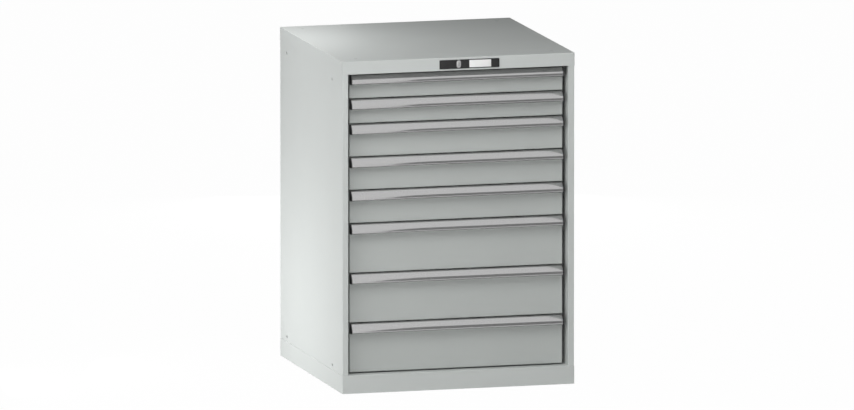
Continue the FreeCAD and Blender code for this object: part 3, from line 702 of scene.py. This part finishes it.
GRIP_ALUMINIUM = (0.47, 0.47, 0.47)
GRIP_WALL = 1.8 * MM
GRIP_EDGE = 0.25 * MM
GRIP_BENDS = ((8.0 * MM, 0.0), (20.6 * MM, 15.5 * MM), (21.5 * MM, 24.5 * MM))
GRIP_RADII = (5 * MM, 12 * MM, 2.5 * MM)
LIP_REACH = 17.5 * MM
LINE_WIDTH = 0.7 * MM
LINE_DEPTH = 0.004 * MM
FILM_SIZE = 40 * MM


def grip_section(low, high):
    """The corners of the grip's outside from the crown to the lip, as places in Y and Z."""
    bends = [(high.y - reach, high.z - drop) for reach, drop in GRIP_BENDS]
    return bends + [(high.y - LIP_REACH, low.z)]


grip_aluminium = Finish("grip_aluminium", {"Metallic": 0.85})
draw_lines = grip_aluminium.grain(LINE_WIDTH, (200, 1, 1), detail=3.0)
grip_film = grip_aluminium.grain(FILM_SIZE, (6, 1, 1))
grip_aluminium.set({
    "Base Color": grip_aluminium.blend(draw_lines, shade(GRIP_ALUMINIUM, 0.94),
                                       shade(GRIP_ALUMINIUM, 1.05)),
    "Roughness": 0.10 + 0.04 * draw_lines + 0.03 * grip_film,
})
grip_aluminium.relief(draw_lines, LINE_DEPTH)

grip_low, grip_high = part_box("drawer_1_handle")
section = [(grip_high.y, grip_low.z), (grip_high.y, grip_high.z), *grip_section(grip_low, grip_high)]
first_grip = folded_strip("grip_1", "X", (grip_low.x, grip_high.x), section, (0, *GRIP_RADII))
thicken(first_grip, GRIP_WALL, 1)
soften(first_grip, GRIP_EDGE)
grips = [first_grip]
for number in DRAWER_NUMBERS[1:]:
    drop = grip_high.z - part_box(f"drawer_{number}_handle")[1].z
    grips.append(copy_of(first_grip, f"grip_{number}", (0, 0, -drop)))
for number, grip in zip(DRAWER_NUMBERS, grips):
    fit_out(grip, grip_aluminium, f"drawer_{number}", "anodised_aluminium", f"drawer_{number}_handle")


# End caps
# Moulded black caps close both ends of each grip and follow its section.

CAP_EDGE = 0.35 * MM

cap_plastic = moulded_black("cap_plastic", BLACK_PLASTIC, 0.5)
cap_low, cap_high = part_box("drawer_1_end_caps")
cap_width = cap_high.x - grip_high.x
cap = slab("cap", (grip_high.x, cap_low.y, cap_low.z), cap_high)
corners = [Vector(corner) for corner in grip_section(cap_low, cap_high)]
edit()
for corner, after in zip(corners, corners[1:]):
    side = after - corner
    bpy.ops.mesh.select_all(action="SELECT")
    bpy.ops.mesh.bisect(plane_co=(0, *corner), plane_no=Vector((0, side.y, -side.x)).normalized(),
                        use_fill=True, clear_outer=True, threshold=CLOSE / 20)
before = Vector((cap_high.y, cap_high.z))
for corner, after, radius in zip(corners, corners[1:], GRIP_RADII):
    turn = (corner - before).angle(after - corner)
    pick(cap, "EDGE", lambda place: (Vector((place.y, place.z)) - corner).length < CLOSE)
    bpy.ops.mesh.bevel(offset=radius * math.tan(turn / 2), segments=FOLD_STEPS, affect="EDGES")
    before = corner
edit(False)
soften(cap, CAP_EDGE)
for number in DRAWER_NUMBERS:
    drop = cap_high.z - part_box(f"drawer_{number}_end_caps")[1].z
    ends = [copy_of(cap, f"cap_{end}", (x, 0, -drop))
            for end, x in (("right", 0), ("left", -2 * cap_high.x + cap_width))]
    fit_out(join(f"end_caps_{number}", ends), cap_plastic, f"drawer_{number}", "black_plastic",
            f"drawer_{number}_end_caps")
bpy.data.objects.remove(cap)


# Floor, light and camera
# A plain pale floor and white surroundings, soft lamps on all sides, two dark sheets that
# only reflections show, and a long lens at the photograph's angle.

SENSOR = 0.036
LENS = 0.830
FRAME_WIDTH = 2.557
AZIMUTH = math.radians(-15.21)
ELEVATION = math.radians(9.12)
AIM = Vector((0.001, 0, 0.499))
FLOOR_GREY = (0.80, 0.80, 0.80)
FLOOR_WHITE_SHARE = 0.985
FLOOR_SIZE = 160
AMBIENT = 0.03
SCREEN_SIZE = 5
SCREEN_CLOUD = 1.0
MIDDLE = (0, 0, 0.5)


def seen_as_background(sheet):
    """1 for rays from the camera and for those that a metal or glass surface sends on."""
    seen = [sheet.node("LightPath", {}, {}, name)
            for name in ("Is Camera Ray", "Is Glossy Ray", "Is Transmission Ray")]
    return seen[0].work_out("MINIMUM", seen[0] + seen[1] + seen[2], 1.0)


floor = begin("floor", bpy.ops.mesh.primitive_plane_add, size=FLOOR_SIZE)
floor_sheet = Finish("floor_sheet", {"Specular IOR Level": 0.0, "Roughness": 0.9})
floor_sheet.set({
    "Base Color": floor_sheet.blend(floor_sheet.grain(0.5), shade(FLOOR_GREY, 0.98), FLOOR_GREY),
})
white_light = floor_sheet.node("Emission", {}, {"Color": (1, 1, 1), "Strength": 1.0})
floor_look = floor_sheet.node("MixShader", {}, {
    0: FLOOR_WHITE_SHARE * seen_as_background(floor_sheet),
    1: Signal(floor_sheet.tree, floor_sheet.shader.outputs[0]),
    2: white_light,
})
feed(floor_sheet.tree, floor_sheet.tree.nodes["Material Output"].inputs["Surface"], floor_look)
floor.data.materials.append(floor_sheet.material)


class Surroundings(Finish):
    """The world: white where it is seen, and a weak even light on the object."""

    def __init__(self, ambient):
        world = bpy.data.worlds.new("surroundings")
        bpy.context.scene.world = world
        world.use_nodes = True
        self.tree = world.node_tree
        ground = self.tree.nodes["Background"]
        feed(self.tree, ground.inputs["Color"], (1, 1, 1))
        seen = seen_as_background(self)
        feed(self.tree, ground.inputs["Strength"], ambient + (1 - ambient) * seen)


Surroundings(AMBIENT)


def screen(name, edge, lean, top, grey):
    """A big upright sheet that only reflections show, given by its left edge, its lean and its top."""
    sheet = begin(name, bpy.ops.mesh.primitive_plane_add, (SCREEN_SIZE, SCREEN_SIZE, 1), size=1,
                  location=(SCREEN_SIZE / 2, 0, 0), rotation=(math.pi / 2, 0, 0))
    sheet.rotation_euler = (0, lean, 0)
    sheet.location = edge
    apply_place()
    edit()
    bpy.ops.mesh.select_all(action="SELECT")
    bpy.ops.mesh.bisect(plane_co=(0, 0, top), plane_no=(0, 0, 1), clear_outer=True)
    edit(False)
    face = Finish(name, {"Base Color": (0, 0, 0), "Specular IOR Level": 0.0, "Emission Strength": 1.0})
    cloud = face.grain(SCREEN_CLOUD)
    face.set({"Emission Color": face.blend(cloud, (0.95 * grey,) * 3, (1.05 * grey,) * 3)})
    sheet.data.materials.append(face.material)
    sheet.visible_camera = False
    sheet.visible_diffuse = False
    sheet.visible_shadow = False
    sheet.visible_transmission = False


screen("front_screen", (-0.13, -1.854, 0.73), math.radians(22), 1.25, 0.26)
screen("rear_screen", (0.0, 0.9, 1.0), 0, 4.0, 0.05)


def lamp(name, place, aim, size, strength):
    """A square soft lamp. Its strength is the radiance of its face, where 1 is white."""
    data = bpy.data.lights.new(name, "AREA")
    data.shape = "SQUARE"
    data.size = size
    data.energy = strength * math.pi * size * size
    light = bpy.data.objects.new(name, data)
    bpy.context.scene.collection.objects.link(light)
    light.visible_camera = False
    light.visible_glossy = False
    light.location = place
    light.rotation_euler = (Vector(aim) - Vector(place)).to_track_quat("-Z", "Y").to_euler()


lamp("high_left_lamp", (-1.63, -1.63, 2.43), MIDDLE, 1.2, 4.3)
lamp("high_front_lamp", (0, -2.3, 2.43), MIDDLE, 1.2, 2.5)
lamp("overhead_front_lamp", (0, -1.41, 3.15), MIDDLE, 1.2, 4.1)
lamp("low_front_lamp", (0, -3.0, 0.3), (0, 0, 0.4), 1.2, 4.4)
lamp("low_left_lamp", (-2.5, -1.2, 0.5), (0, 0, 0.4), 1.0, 3.75)
lamp("far_left_lamp", (-2.9, -0.78, 0.6), MIDDLE, 1.2, 1.0)
lamp("left_lamp", (-1.3, 0.1, 0.25), (-0.36, 0, 0.25), 0.5, 3.5)
lamp("left_floor_lamp", (-1.0, 0.3, 0.12), (-0.3, 0, 0.3), 0.3, 6.5)
lamp("top_lamp", (-0.5, 0.15, 1.4), (-0.5, 0.15, 0), 0.4, 3.2)
lamp("rear_lamp", (0.8, 3.2, 0.4), MIDDLE, 1.2, 12.0)
lamp("right_lamp", (3.2, 0.6, 0.4), MIDDLE, 1.2, 11.0)

lens = bpy.data.cameras.new("camera")
lens.sensor_width = 1000 * SENSOR
lens.lens = 1000 * LENS
camera = bpy.data.objects.new("camera", lens)
bpy.context.scene.collection.objects.link(camera)
back_way = Vector((math.sin(AZIMUTH) * math.cos(ELEVATION), -math.cos(AZIMUTH) * math.cos(ELEVATION),
                   math.sin(ELEVATION)))
camera.location = AIM + back_way * FRAME_WIDTH * LENS / SENSOR
camera.rotation_mode = "QUATERNION"
camera.rotation_quaternion = (-back_way).to_track_quat("-Z", "Y")
lens.clip_start = 1
lens.clip_end = 200
bpy.context.scene.camera = camera
bpy.context.scene.view_settings.view_transform = "Standard"
